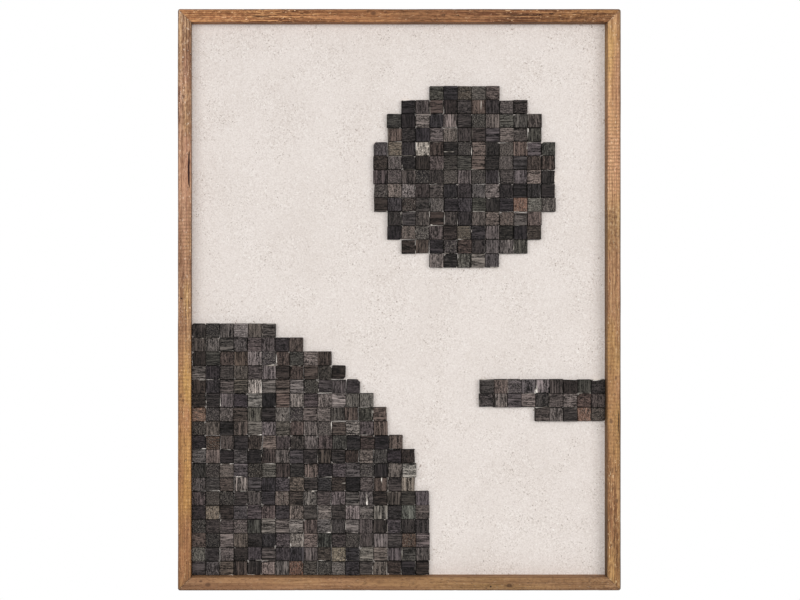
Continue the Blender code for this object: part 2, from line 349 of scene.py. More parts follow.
def rail_marks(section, s, d, y, half, seed, casts, bold, patchy, sawn, inside, outside):
    """What the old wood reads at every point of a rail: its grain, kind, wear and painted shade, and cast.

    The grain parts round each knot: its distance across moves by the knot's radius times a bell
    curve along the rail, away from the knot's middle. The casts, the strength of the saw's marks
    and the painted shade of the inner wall, where less than 0 is painted light, are given at
    shares of the half length. Bold says how strong the grain is, patchy how much the hue drifts,
    and outside how much darker the front is made towards the outer side, which fades inwards as a
    bell curve does.
    """
    dice = np.random.default_rng(seed + 80)
    knot, parted = np.zeros(s.shape), d.copy()
    for _ in range(3):
        at, across = dice.uniform(-0.9, 0.9) * half, dice.uniform(0.2, 0.8) * rail_face
        radius = dice.uniform(0.0015, 0.0035)
        away = np.hypot((s - at) / 1.5, d - across) / radius
        knot = np.maximum(knot, np.exp(-away ** 2 / 1.5))
        bell = np.exp(-((s - at) / (3 * radius)) ** 2) * np.exp(-np.abs(d - across) / (2 * radius))
        parted -= radius * np.tanh((d - across) / (0.6 * radius)) * bell
    grain = np.stack([s + seed * grain_step, parted, y], axis=-1)

    def along_rail(given):
        """Values given at shares of the half length, evenly joined."""
        return np.interp(s / half, list(given), list(given.values()))

    saw = np.clip(0.6 + 1.1 * drift(s * 8 + 168, d * 25 + 80, seed * (seed + 1)), 0, 1)
    saw = along_rail(sawn) * saw * np.clip((half - np.abs(s)) * 9 - 0.3, 0, 1)
    hue = drift(s * 6 + 30, d * 14 + 30, seed + 5) + 0.5 * drift(s * 19 + 30, d * 60 + 30, seed + 6)
    boldness = bold * (1 + 0.45 * drift(s * 9 + 90, d * 6 + 90, seed + 10)) * (1 - 0.45 * saw)
    kind = np.stack([knot, 0.5 + patchy * hue, boldness], axis=-1)

    edge_reach, mitre_reach = 0.0026, 0.0012
    # darker towards the outer side of the front, and painted shade on the inner wall
    darkening = section[None, :, 6]
    on_front = section[None, :, 1] < -0.5 * rail_depth
    edge = darkening + outside * np.exp(-(d / edge_reach) ** 2) * on_front
    # the inner wall takes its painted shade from inside; below 0 it gets painted light instead
    edge = np.where(darkening == 1, along_rail(inside), edge)
    at_mitre = np.exp((np.abs(s) + d - half) / mitre_reach)
    worn = np.stack([np.clip(edge, 0, 1), at_mitre, saw], axis=-1)

    # the tone drifts by chance, and an inner wall whose inside is below 0 is made paler: painted light
    shade = (1 + 0.06 * drift(s * 5 + 60, d * 9 + 60, seed + 7)
             + 0.06 * drift(s * 15 + 60, d * 30 + 60, seed + 8) + 0.5 * np.clip(-edge, 0, 1))
    channels = [along_rail(dict(zip(casts, channel))) for channel in zip(*casts.values())]
    cast = shade[..., None] * np.stack(channels, axis=-1)
    return {label: values.reshape(-1, 3) for label, values in
            (("grain", grain), ("kind", kind), ("worn", worn), ("cast", cast))}


def mapped_piece(name, points, faces, finish, unwrapped, **marks):
    """A smooth mesh object at the origin, with its unwrapped map and its marks.

    Each mark is given for every point, and kept on the faces' corners, where cuts don't lose it.
    """
    mesh = bpy.data.meshes.new(name)
    mesh.from_pydata(points.tolist(), [], faces)
    mesh.uv_layers.new(name="OFBake").data.foreach_set("uv", unwrapped.astype(np.float32).ravel())
    corners = np.zeros(len(mesh.loops), np.int32)
    mesh.loops.foreach_get("vertex_index", corners)
    for label, values in marks.items():
        attribute = mesh.attributes.new(label, "FLOAT_VECTOR", "CORNER")
        attribute.data.foreach_set("vector", values[corners].astype(np.float32).ravel())
    mesh.polygons.foreach_set("use_smooth", np.ones(len(faces), bool))
    mesh.set_sharp_from_angle(angle=sharp_angle)
    mesh.materials.append(finish)
    made = bpy.data.objects.new(name, mesh)
    bpy.context.scene.collection.objects.link(made)
    return made


def rail_piece(name, outer_middle, inward, length, finish, seed, age):
    """One rail: its section carried along its length, from one mitre plane to the other."""
    section = rail_section()
    closed = np.vstack([section[:, :2], section[:1, :2]])
    steps = np.linalg.norm(np.diff(closed, axis=0), axis=1)
    girth = np.concatenate([[0], np.cumsum(steps)])[None, :-1]
    along = int(length / ring_step)
    share = np.linspace(-1, 1, along + 1)[:, None]
    s, d, y = worn_places(section, girth, share, length / 2, seed)
    lengthways = Vector(inward).cross(Vector((0, 1, 0)))
    points = (np.array(outer_middle) + s[..., None] * np.array(lengthways)
              + d[..., None] * np.array(inward) + y[..., None] * np.array((0, 1, 0)))
    faces, unwrapped = rail_net(section, steps, along)
    marks = rail_marks(section, s, d, y, length / 2, seed, **age)
    return mapped_piece(name, points.reshape(-1, 3), faces, finish, unwrapped, **marks)


def settle(piece, slot, *nodes):
    """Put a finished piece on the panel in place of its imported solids."""
    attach(piece, "root")
    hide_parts(*nodes)


def wear_finish(start, shader, colour, roughness, rise, depth):
    """Give a shader its colour and roughness, and a bump from a rise that reaches the depth."""
    bump = start.node("ShaderNodeBump", {}, {"Strength": 1.0, "Distance": depth, "Height": rise})
    for value, name in ((colour, "Base Color"), (roughness, "Roughness"), (bump, "Normal")):
        start.tree.links.new(value.socket, shader.inputs[name])


def mark(start, name):
    """One of the marks on a piece's own points."""
    return start.node("ShaderNodeAttribute", {"attribute_name": name}, output="Vector")


def parts(vector):
    """The three numbers of a vector."""
    first = vector.node("ShaderNodeSeparateXYZ", {}, {0: vector})
    return first, first.beside(1), first.beside(2)


def stretched(place, stretch):
    """A place, with its numbers multiplied by those of the stretch."""
    return place.node("ShaderNodeVectorMath", {"operation": "MULTIPLY"}, {0: place, 1: stretch})


def noise(place, stretch, detail=3.0, roughness=0.55, distortion=0.0):
    """Soft chance values about one half, so many to the metre in each direction."""
    return place.node("ShaderNodeTexNoise", {}, {
        "Vector": stretched(place, stretch), "Scale": 1.0, "Detail": detail,
        "Roughness": roughness, "Distortion": distortion})


def spots(place, stretch, low, high):
    """Spots, so many to the metre in each direction.

    They are 1 inside the low distance from their middles, as stretched, and 0 past the high one.
    """
    cells = place.node("ShaderNodeTexVoronoi", {}, {"Vector": stretched(place, stretch), "Scale": 1.0})
    return 1.0 - between(cells, low, high)


def between(value, low, high):
    """0 below the low value, 1 above the high one, and an even curve from one to the other."""
    return value.node("ShaderNodeMapRange", {"interpolation_type": "SMOOTHSTEP"},
                      {"Value": value, "From Min": low, "From Max": high})


def over(first, second, share, way="MIX"):
    """The first colour with the second laid over it, or multiplied in, as far as the share says."""
    start = next(part for part in (share, first, second) if isinstance(part, Shade))
    first, second = [part if isinstance(part, Shade) else (*part, 1.0) for part in (first, second)]
    return start.node("ShaderNodeMix", {"data_type": "RGBA", "blend_type": way},
                      {0: share, 6: first, 7: second}, output=2)


def coats(colour, *layers, way="MIX"):
    """The colour with each layer's own colour laid over it in turn, as far as its share says."""
    for layer, share in layers:
        colour = over(colour, layer, share, way)
    return colour


old_wood, wood, wood_shader = finish_for("old_wood")
grain = mark(wood, "grain")
edge_and_wall_shade, mitre_line, saw_strength = parts(mark(wood, "worn"))
knot, hue, boldness = parts(mark(wood, "kind"))
wood_shader.inputs["Specular IOR Level"].default_value = 0.3
broad = noise(grain, (2.6, 95, 70), 4.0, 0.6, 0.6)
lines = noise(grain, (12, 380, 300), 4.0, 0.65)
dashes = noise(grain, (70, 440, 400), 4.0, 0.7)
fibres = noise(grain, (5, 400, 340), 2.0, 0.5, 0.15)
fine = noise(grain, (60, 1500, 1200), 3.0, 0.6)
mottle = noise(grain, (150, 170, 160), 4.0, 0.7)
flecks = between(noise(grain, (150, 520, 450), 2.0, 0.6), 0.62, 0.70)
smudges = between(noise(grain, (13, 34, 30), 3.0, 0.6), 0.52, 0.78)
shakes = between(noise(grain, (60, 460, 420), 3.0, 0.6), 0.60, 0.66)
chips = between(noise(grain, (150, 460, 440), 2.0, 0.55), 0.65, 0.70)
rough_mitre = noise(grain, (420, 420, 420), 2.0)
hole = spots(grain, (30, 30, 30), 0.030, 0.055)
teeth = grain.node("ShaderNodeTexWave", {}, {"Vector": grain, "Scale": 49.6, "Distortion": 2.6,
                                             "Detail": 3.0, "Detail Scale": 1.1, "Detail Roughness": 0.6})
saw_marks = between(teeth, 0.25, 0.95) * saw_strength

# two stretches of scaly wood, each with its middle and half its length along the grain
grain_along, grain_across, _ = parts(grain)
patches = between(noise(grain, (8, 12, 12), 2.0), 0.54, 0.64)
for at, half_length in ((6.672, 0.050), (3.03, 0.040)):
    scaly = (grain_along - at) * (1 / half_length)
    patches = patches + between(1.0 - scaly * scaly, 0.0, 0.7) * 2.6
patches = patches * boldness

# four splits, each with its middle along and across the grain, half its length and half its width
wander = grain_across + noise(grain, (90, 40, 0), 3.0) * 0.0016
split = 0.0
for at, across, half_length, half_width in (
        (5.335, 0.0206, 0.036, 0.0019), (7.02, 0.0055, 0.022, 0.0008),
        (1.93, 0.0120, 0.030, 0.0008), (1.45, 0.0150, 0.018, 0.0009)):
    lengthwise = (grain_along - at) * (1 / half_length)
    lengthwise = lengthwise * lengthwise
    sideways = (wander - across - lengthwise * half_width * 0.8) * (1 / half_width)
    split = split + between(1.0 - lengthwise - sideways * sideways, 0.0, 0.35)

wood_colour = coats(
    over((0.56, 0.290, 0.172), (0.645, 0.392, 0.145), between(hue, 0.2, 0.8)),
    ((0.31, 0.148, 0.070), between(broad, 0.36, 0.66) * (0.6 + 0.4 * boldness)),
    ((0.135, 0.058, 0.025), between(lines, 0.50, 0.64) * boldness * 0.80),
    ((0.78, 0.50, 0.27), between(1.0 - lines, 0.52, 0.66) * boldness * 0.60),
    ((0.15, 0.060, 0.025), between(fibres, 0.50, 0.62) * boldness * 0.60),
    ((0.78, 0.50, 0.28), between(1.0 - fibres, 0.52, 0.64) * boldness * 0.45),
    ((0.12, 0.052, 0.024), between(dashes, 0.50, 0.62) * boldness * 0.45),
    ((0.80, 0.55, 0.33), between(1.0 - dashes, 0.52, 0.64) * boldness * 0.40),
    ((0.15, 0.068, 0.035), between(mottle, 0.50, 0.62) * (0.25 + 0.3 * patches)),
    ((0.86, 0.62, 0.42), between(1.0 - mottle, 0.52, 0.64) * patches * 0.25),
    ((0.20, 0.105, 0.050), saw_marks * 0.60),
    ((0.065, 0.028, 0.015), flecks * 0.6),
    ((0.060, 0.018, 0.007), shakes * boldness * 0.75),
    ((1.0, 0.80, 0.60), chips * boldness * 0.8),
    ((0.13, 0.070, 0.042), smudges * 0.34),
    ((0.10, 0.044, 0.024), between(knot, 0.30, 0.75) * 0.65),
    ((0.035, 0.018, 0.012), hole),
    ((0.030, 0.005, 0.002), split),
    ((0.075, 0.034, 0.020), mitre_line * between(rough_mitre, 0.38, 0.60) * 0.7),
    ((0.90, 0.66, 0.46), mitre_line * between(1.0 - rough_mitre, 0.52, 0.62) * 0.6),
    # darker towards the outer side, and painted shade on the inner walls
    ((0.095, 0.052, 0.028), edge_and_wall_shade * 0.85))
wood_colour = over(wood_colour, mark(wood, "cast"), 1.0, "MULTIPLY")
wood_rise = lines * -0.35 + fine * -0.20 + dashes * -0.30 + flecks * -0.5 + hole * -2.0
wood_rise = wood_rise - mitre_line * 0.8 - saw_marks * 0.35 - shakes * 0.6 - split * 4.0
wear_finish(wood, wood_shader, wood_colour, 0.55 + lines * 0.30, wood_rise, 0.0005)

side_middle = (packed_high.z + packed_low.z) / 2
panel_width = packed_high.x - packed_low.x
# inside gives each rail's inner wall its painted shade; the bottom rail's wall faces up and gets painted
# light
for side, middle, inward, length, seed, age in (
        ("top", (0, 0, packed_high.z), (0, 0, -1), panel_width, 1,
         {"casts": {-1: (1.09, 0.89, 0.655), -0.4: (0.94, 0.76, 0.57), -0.04: (0.91, 0.735, 0.56),
                    0.05: (0.64, 0.51, 0.385), 1: (0.59, 0.46, 0.35)},
          "bold": 1.1, "patchy": 0.2, "sawn": {0: 0.0}, "inside": {0: 0.4}, "outside": 0.1}),
        ("bottom", (0, 0, packed_low.z), (0, 0, 1), panel_width, 2,
         {"casts": {-1: (0.59, 0.56, 0.53), 1: (0.59, 0.56, 0.53)},
          "bold": 0.3, "patchy": 0.12, "sawn": {0: 0.0}, "inside": {0: -0.7}, "outside": 0.4}),
        ("left", (packed_low.x, 0, side_middle), (1, 0, 0), panel_height, 3,
         {"casts": {-1: (0.62, 0.55, 0.42), -0.88: (0.80, 0.70, 0.53), -0.7: (1.00, 0.89, 0.67),
                    -0.25: (1.02, 0.96, 0.80), -0.05: (1.02, 1.00, 1.02), 0.8: (1.03, 1.05, 1.15),
                    1: (0.94, 0.97, 1.06)},
          "bold": 0.77, "patchy": 0.6, "sawn": {0.35: 0.75, 0.5: 0.3}, "inside": {0: 0.6},
          "outside": 0.0}),
        ("right", (packed_high.x, 0, side_middle), (-1, 0, 0), panel_height, 4,
         {"casts": {-1: (1.00, 0.97, 0.94), -0.7: (1.30, 1.31, 1.26), -0.5: (1.45, 1.47, 1.42),
                    -0.38: (1.36, 1.38, 1.32), -0.28: (0.90, 0.91, 0.83), 0: (0.94, 0.92, 0.81),
                    0.4: (0.905, 0.86, 0.725), 1: (0.80, 0.735, 0.565)},
          "bold": 0.80, "patchy": 0.6,
          "sawn": {-0.45: 1.0, -0.3: 0.25, 0: 0.3, 0.1: 0.55, 0.55: 0.5, 0.75: 0.3},
          "inside": {0.58: 0.62, 0.78: 1.0}, "outside": 0.9})):
    made_rail = rail_piece("frame_" + side, middle, inward, length, old_wood, seed, age)
    settle(made_rail, "old_wood", "rail_" + side)


def take_out(piece, outlines, tint):
    """Cut prisms out of a piece's back. Each is an outline of (x, z) points and how deep it goes.

    The cut wood is marked as plain grain along x. In the map each prism has its own cell in a
    strip beside the mitres: its walls in the lower part, its floor and its open end above them.
    """
    first_cell, cell_pitch, walls_width, floor_width, end_start = 0.34, 0.105, 0.09, 0.04, 0.05
    walls_low, walls_high, floor_low, floor_height = 0.965, 0.978, 0.982, 0.014
    points, faces, unwrapped = [], [], []
    for number, (outline, depth) in enumerate(outlines):
        count, first = len(outline), len(points)
        outline = np.array(outline)
        points += [(x, y, z) for y in (-depth, 0.001) for x, z in outline]
        size = np.ptp(outline, axis=0)
        spread = (outline - outline.min(axis=0)) / size
        left = first_cell + cell_pitch * number
        for k in range(count):
            after = (k + 1) % count
            faces.append((first + k, first + count + k, first + count + after, first + after))
            start, end = left + walls_width * k / count, left + walls_width * (k + 1) / count
            unwrapped += [(start, walls_low), (start, walls_high), (end, walls_high), (end, walls_low)]
        for ring, start in ((range(count), 0.0), (range(count - 1, -1, -1), end_start)):
            faces.append([first + k + (count if start else 0) for k in ring])
            unwrapped += [(left + start + floor_width * across, floor_low + floor_height * up)
                          for across, up in spread[list(ring)]]
    points = np.array(points)
    grain_at = np.stack([points[:, 0] + grain_step, packed_high.z - points[:, 2], points[:, 1]], axis=-1)
    plain = np.ones((len(points), 1))
    tool = mapped_piece("tool", points, faces, old_wood, np.array(unwrapped), grain=grain_at,
                        kind=plain * (0.0, 0.5, 1.0), worn=plain * (0.0, 0.0, 0.0), cast=plain * tint)
    saw = piece.modifiers.new("notches", "BOOLEAN")
    saw.object, saw.solver = tool, "EXACT"
    bpy.context.view_layer.update()
    done = bpy.data.meshes.new_from_object(piece.evaluated_get(bpy.context.evaluated_depsgraph_get()))
    piece.modifiers.clear()
    bpy.data.objects.remove(tool, do_unlink=True)
    done.set_sharp_from_angle(angle=sharp_angle)
    piece.data = done


notch_depth = 0.005
notch_side, notch_below, notch_above = 0.004, 0.016, 0.001
nail_radius, nail_room = 0.001, 0.0003
circle = np.linspace(0, 2 * math.pi, 13)[:-1]
cuts = []
for node in ("hanger_left", "hanger_right"):
    low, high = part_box(node)
    left, right = low.x - notch_side, high.x + notch_side
    below, above = low.z - notch_below, high.z + notch_above
    cuts.append(([(left, below), (right, below), (right, above), (left, above)], notch_depth))
    for end in ("_nail_inner", "_nail_outer"):
        low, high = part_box(node + end)
        across, up = (low.x + high.x) / 2, (low.z + high.z) / 2
        cuts.append(([(across + nail_radius * math.cos(t), up + nail_radius * math.sin(t)) for t in circle],
                     nail_room - low.y))
take_out(bpy.data.objects["frame_top"], cuts, (0.85, 0.72, 0.58))

# ---- Board -----------------------------------------------------------------------------------
# A sheet of thin plywood, cut to fit the groove. Only its back is seen, through the open back of
# the frame: a pale rotary cut veneer with long wandering grain, a little dusty.


def shell_net(along, across, rings, map_share, map_fill):
    """The points and faces of a thin body: a grid, rings round its border, and one face to close it.

    Points are given as shares from -1 to 1 along and across, with the ring each belongs to. The
    grid's lines crowd towards its border, at sin(bend t) / sin(bend). In the map the rings lie
    round the grid as frames, each as large as map_fill says, inside the left map_share of its
    width, and the closing face takes the rest.
    """
    bend_along, bend_across = 1.35, 1.1
    steps_along = np.sin(np.linspace(-1, 1, along + 1) * bend_along) / math.sin(bend_along)
    steps_across = np.sin(np.linspace(-1, 1, across + 1) * bend_across) / math.sin(bend_across)
    a, c = np.meshgrid(steps_along, steps_across, indexing="ij")
    number = np.arange(a.size).reshape(a.shape)
    quads = np.stack([number[:-1, :-1], number[1:, :-1], number[1:, 1:], number[:-1, 1:]], axis=-1)
    border = np.concatenate([number[:-1, 0], number[-1, :-1], number[:0:-1, -1], number[0, :0:-1]])
    loops = [border] + [a.size + ring * border.size + np.arange(border.size) for ring in range(rings)]
    quads = [quads.reshape(-1, 4)]
    for upper, lower in zip(loops, loops[1:]):
        quads.append(np.stack([upper, lower, np.roll(lower, -1), np.roll(upper, -1)], axis=-1))
    quads = np.concatenate(quads)
    closing = loops[-1][::-1]
    a, c = [np.concatenate([s.ravel()] + [s.ravel()[border]] * rings) for s in (a, c)]
    ring = np.concatenate([np.zeros(number.size, int), np.repeat(np.arange(rings) + 1, border.size)])
    fill = np.array(map_fill)[ring]
    place = np.stack([(a * fill + 1) / 2 * map_share, (c * fill + 1) / 2], axis=-1)
    rest = np.stack([map_share + (1 - map_share) * (0.5 - a[closing] * 0.46),
                     0.5 + c[closing] * 0.48], axis=-1)
    return a, c, ring, border, quads, closing, np.concatenate([place[quads].reshape(-1, 2), rest])


def sheet_piece(name, node, finish, facing, swell, seed):
    """A thin flat sheet whose better side faces -Y or +Y and swells by chance in low waves."""
    low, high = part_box(node)
    middle, half = (low + high) / 2, (high - low) / 2
    a, c, ring, _, quads, closing, unwrapped = shell_net(60, 80, 2, 0.8, (0.985, 0.992, 0.999))
    wave = swell * (0.5 + 0.35 * drift(a * 5 + 20, c * 7 + 20, seed)
                    + 0.15 * drift(a * 16 + 50, c * 20 + 50, seed))
    depth = np.choose(ring, [half.y - wave, half.y - swell, -half.y])
    inset = np.where(ring == 0, 0.0004, 0.0)
    points = np.stack([middle.x - facing * a * (half.x - inset), middle.y + facing * depth,
                       middle.z + c * (half.z - inset)], axis=-1)
    return mapped_piece(name, points, quads.tolist() + [closing.tolist()], finish, unwrapped)


plywood, veneer, veneer_shader = finish_for("plywood")
upright = veneer.node("ShaderNodeTexCoord", output="Object")
swirl = noise(upright, (3.4, 3.0, 0.5), 2.0, 0.45, 0.2)
veneer_rings = swirl.maths("PINGPONG", swirl * 30.0, 1.0)
veneer_bands = noise(upright, (60, 40, 1.6), 4.0, 0.6, 0.3)
veneer_lines = noise(upright, (420, 300, 9), 4.0, 0.6)
veneer_pores = noise(upright, (820, 600, 44), 3.0, 0.6)
dust = noise(upright, (6, 6, 6), 5.0)
veneer_knots = spots(upright, (4.6, 4.6, 2.6), 0.012, 0.034)
veneer_colour = coats(
    over((0.53, 0.375, 0.225), (0.42, 0.275, 0.155), between(veneer_bands, 0.35, 0.65)),
    ((0.33, 0.195, 0.100), between(veneer_rings, 0.55, 1.0) * 0.62),
    ((0.60, 0.45, 0.29), between(1.0 - veneer_lines, 0.50, 0.68) * 0.45),
    ((0.29, 0.175, 0.095), between(veneer_lines, 0.50, 0.68) * 0.55),
    ((0.20, 0.115, 0.060), between(veneer_pores, 0.56, 0.66) * 0.55),
    ((0.16, 0.085, 0.045), veneer_knots * 0.75),
    ((0.56, 0.49, 0.40), between(dust, 0.5, 0.8) * 0.3))
wear_finish(veneer, veneer_shader, veneer_colour, 0.65 + veneer_lines * 0.2,
            veneer_lines * -1.0 + veneer_pores * -0.8, 0.0002)
settle(sheet_piece("board", "backing_board", plywood, 1, 0.0004, 11), "plywood", "backing_board")

# ---- Paper -----------------------------------------------------------------------------------
# Thick cream paper made from rough pulp, glued over the whole face of the board. Its surface is
# like fine felt, with short raised fibres and a few darker flecks of chaff in it.
pulp_paper, pulp, pulp_shader = finish_for("pulp_paper")
sheet = pulp.node("ShaderNodeTexCoord", output="Object")
cloud = noise(sheet, (9, 9, 9), 4.0, 0.6)
felt = noise(sheet, (430, 430, 430), 4.0, 0.75)
pulp_fibres = noise(sheet, (640, 640, 210), 3.0, 0.65, 1.0)
cross_fibres = noise(sheet, (210, 640, 640), 3.0, 0.65, 1.0)
drifts = between(noise(sheet, (16, 16, 16), 3.0, 0.6), 0.40, 0.62)
chaff = between(noise(sheet, (330, 330, 330), 2.0, 0.5), 0.655, 0.70)
bare = between(noise(sheet, (260, 260, 260), 2.0, 0.5), 0.66, 0.71)
paper_colour = coats(
    over((0.785, 0.720, 0.680), (0.745, 0.678, 0.636), between(cloud, 0.35, 0.7)),
    ((0.54, 0.47, 0.42), between(felt, 0.50, 0.66) * (0.40 + 0.35 * drifts)),
    ((0.93, 0.88, 0.84), between(1.0 - felt, 0.50, 0.66) * (0.45 + 0.30 * drifts)),
    ((0.60, 0.53, 0.47), between(pulp_fibres, 0.52, 0.68) * 0.4),
    ((0.60, 0.53, 0.47), between(cross_fibres, 0.52, 0.68) * 0.4),
    ((0.95, 0.92, 0.88), bare * 0.6),
    ((0.30, 0.23, 0.19), chaff * (0.25 + 0.55 * drifts)))
wear_finish(pulp, pulp_shader, paper_colour, 0.86 + felt * 0.1,
            felt * 0.7 + pulp_fibres * -0.3 + cross_fibres * -0.3, 0.0004)
settle(sheet_piece("paper", "paper_ground", pulp_paper, -1, 0.00015, 12), "pulp_paper", "paper_ground")

# ---- Squares ---------------------------------------------------------------------------------
# Some four hundred squares, about an inch across, sawn from thin strips of dark stained old wood
# and glued edge to edge on the paper. The grain runs now one way and now the other, a few are
# cut across it, and no two have weathered alike, so each has a face of its own.
square_pitch = 0.0254
rail_room = rail_face + 0.00002
rim_inset, back_flare = 0.00035, 0.00045
turned_share, short_share, chipped_share = 0.2, 0.10, 0.13
speckled_share, splintered_share, bright_share = 0.11, 0.13, 0.12
stains = np.array([
    (0.046, 0.038, 0.036), (0.051, 0.038, 0.033), (0.046, 0.038, 0.039), (0.044, 0.040, 0.035),
    (0.023, 0.019, 0.021), (0.095, 0.084, 0.076), (0.090, 0.070, 0.054), (0.105, 0.060, 0.042)])
stain_shares = np.array((0.34, 0.20, 0.13, 0.10, 0.14, 0.06, 0.01, 0.015))
bare_from = 6
faded_cast = (1.11, 0.985, 0.92)


def read_run(node):
    """What a packed run of squares tells: their left and right sides, fronts, and its own limits.

    From left to right its front has three stops for each square: its left side, its right side,
    and the floor of the joint beside it.
    """
    packed = np.array([corner.co for corner in frame["nodes"][node].data.vertices])
    back, bottom, top = packed[:, 1].max(), packed[:, 2].min(), packed[:, 2].max()
    stops = np.unique(packed[packed[:, 1] < back - 1e-4][:, 0])
    stops = stops[np.concatenate([[True], np.diff(stops) > 5e-5])]
    lefts, rights = stops[0::3], stops[1::3]
    fronts = np.array([packed[np.abs(packed[:, 0] - edge) < 4e-5][:, 1].min() for edge in lefts])
    return lefts, rights, fronts, back, bottom, top


def squares_piece(name, node, finish, seed):
    """One run of squares, with their places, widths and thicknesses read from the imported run.

    Along and across the grain a square reaches half its size less a little slack, and a few are
    short on one side, more so at one end of it, which leaves a tapered gap. Its face lies lower
    by the wear: ridges and grooves that run with the grain, narrow cracks where a second chance
    height is large, a splinter torn along one side here and there, and a fall at its border.
    Near a corner, where the distances from both edges add up to q, less than the chip's size t,
    they are made to add up to (3t + q) / 4. Nothing reaches past a rail's inner face.
    """
    dice = np.random.default_rng(seed)
    lefts, rights, fronts, back, bottom, top = read_run(node)
    count = len(lefts)

    def chance(low, high, *shape):
        """Chance numbers of each square's own."""
        return dice.uniform(low, high, (count, *(shape or (1,))))

    def at_nearest(sides, places):
        """The value of the side or corner nearest to each point, out of four."""
        return np.take_along_axis(sides, np.broadcast_to(places, (count, a.size)), axis=1)

    # size, turn, gaps and chipped corners
    a, c, ring, border, quads, closing, unwrapped = shell_net(10, 26, 2, 0.93, (0.76, 0.82, 0.98))
    column = np.round((lefts + packed_high.x) / square_pitch).astype(int)
    turned = (column + round(top / square_pitch) + (dice.random(count) < turned_share)) % 2 == 1
    turned = turned[:, None]
    half_x, half_z = (rights - lefts)[:, None] / 2, (top - bottom) / 2
    swing = np.radians(np.clip(dice.normal(0, 0.6, (count, 1)), -1.3, 1.3))
    slack = chance(-0.0002, 0.00015) + 0.011 * np.abs(swing)
    half_a = np.where(turned, half_z, half_x) - slack
    half_c = np.where(turned, half_x, half_z) - slack
    rim = (ring == 0) & ((np.abs(a) > 0.999) | (np.abs(c) > 0.999))
    inset = np.where(rim, rim_inset, 0.0)
    inset = np.where(ring == 2, -back_flare, inset)
    pa, pc = a * (half_a - inset), c * (half_c - inset)
    short = np.where(chance(0, 1, 4) < short_share, chance(0.0006, 0.0022, 4), 0.0)[:, :, None]
    short = short * (1.1 + chance(-0.9, 0.9, 4, 1) * np.stack([c, c, a, a])) / 2
    pa = pa - np.clip(a, 0, 1) * short[:, 0] + np.clip(-a, 0, 1) * short[:, 1]
    pc = pc - np.clip(c, 0, 1) * short[:, 2] + np.clip(-c, 0, 1) * short[:, 3]
    chips = np.where(chance(0, 1, 4) < chipped_share, chance(0.0012, 0.0045, 4), chance(0.0, 0.0008, 4))
    chip = at_nearest(chips, (pa > 0) * 1 + (pc > 0) * 2)
    q = (half_a - np.abs(pa)) + (half_c - np.abs(pc))
    push = np.clip(chip - q, 0, None) * 3 / 8
    pa, pc = pa - np.sign(pa) * push, pc - np.sign(pc) * push

    # stain
    stain = dice.choice(len(stains), count, p=stain_shares / stain_shares.sum())[:, None]
    speckled = (chance(0, 1) < speckled_share) | (stain >= bare_from)
    level = np.clip(dice.normal(-0.28, 0.60, (count, 1)), -1.4, 0.7 - 0.6 * (stain >= bare_from))
    tone = stains[stain[:, 0]] * (1 + dice.normal(0, 1, (count, 3)) * (0.034, 0.016, 0.030))
    faded = tone.mean(axis=1, keepdims=True) * faded_cast
    tone = (tone + (faded - tone) * np.clip(level + 0.1, 0, 0.35) * (stain < bare_from)) * np.exp(level)

    # wear of the face
    ridges = chance(4.5, 8.5)
    u, v = a * chance(0.35, 1.1) + chance(5, 200), c * ridges + chance(5, 200)
    rise = (0.6 * drift(u, v, 301) + 0.25 * drift(u * 2.3, v * 2.1, 302)
            + 0.35 * drift(u, c * 1.6 + chance(5, 200), 303))
    crumbly = 0.5 * rise + drift(a * 9 + chance(5, 200), c * 9 + chance(5, 200), 304)
    relief = np.clip(0.5 + 0.5 * np.where(speckled, crumbly, rise), 0, 1)
    crack_and_gap_shade = np.clip(drift(u * 0.8 + 7, v * 1.3 + 9, 305) - chance(0.35, 0.8), 0, None) * 2.6
    crack_and_gap_shade = np.clip(crack_and_gap_shade, 0, 1) * ~speckled
    runs_at = np.where(chance(0, 1) < 0.8, np.sign(chance(-1, 1)), chance(-1, 1)) * half_c
    widest = chance(0.0007, 0.0023)
    starts_at = np.sign(chance(-1, 1)) * chance(0.3, 1.0)
    splinter = widest * np.clip(1 - np.abs(a - starts_at) / chance(0.6, 1.8), 0, 1)
    splinter = splinter * (0.8 + 0.5 * drift(a * 3 + u, c * 0.5 + v, 307))
    splinter = (np.clip((splinter - np.abs(pc - runs_at)) / 0.0004 + 0.3, 0, 1)
                * (chance(0, 1) < splintered_share) * (splinter > 0))
    fray = dice.uniform(0, 1, (count, a.size))
    fall = np.where(rim, 0.0001 + 0.0003 * fray, 0.0)
    tilt = chance(-0.0002, 0.0002) * a + chance(-0.0002, 0.0002) * c
    face = (fronts[:, None] + 0.00025 + tilt + chance(0.00022, 0.00075) * (1 - relief)
            + chance(0.0003, 0.0012) * crack_and_gap_shade + 0.0006 * splinter + fall)
    y = face.copy()
    y[:, ring == 1] = face[:, border] + 0.0002 + 0.0004 * fray[:, ring == 1]
    y[:, ring == 2] = back

    # place in the run
    x, z = np.where(turned, -pc, pa), np.where(turned, pa, pc)
    x, z = x * np.cos(swing) - z * np.sin(swing), x * np.sin(swing) + z * np.cos(swing)
    middles = (lefts + rights)[:, None] / 2
    free = np.clip([packed_high.x - rights[-1] - 0.04, lefts[0] - packed_low.x - 0.04], 0, 0.0008)
    spread = dice.uniform(-free[1], free[0]) * np.linspace(0, 1, count)[:, None]
    x = x + middles + spread + chance(-0.00015, 0.00015)
    z = z + (top + bottom) / 2 + chance(-0.0003, 0.0003)
    x = np.clip(x, packed_low.x + rail_room, packed_high.x - rail_room)
    z = np.maximum(z, packed_low.z + rail_room)
    points = np.stack([x, y, z], axis=-1)
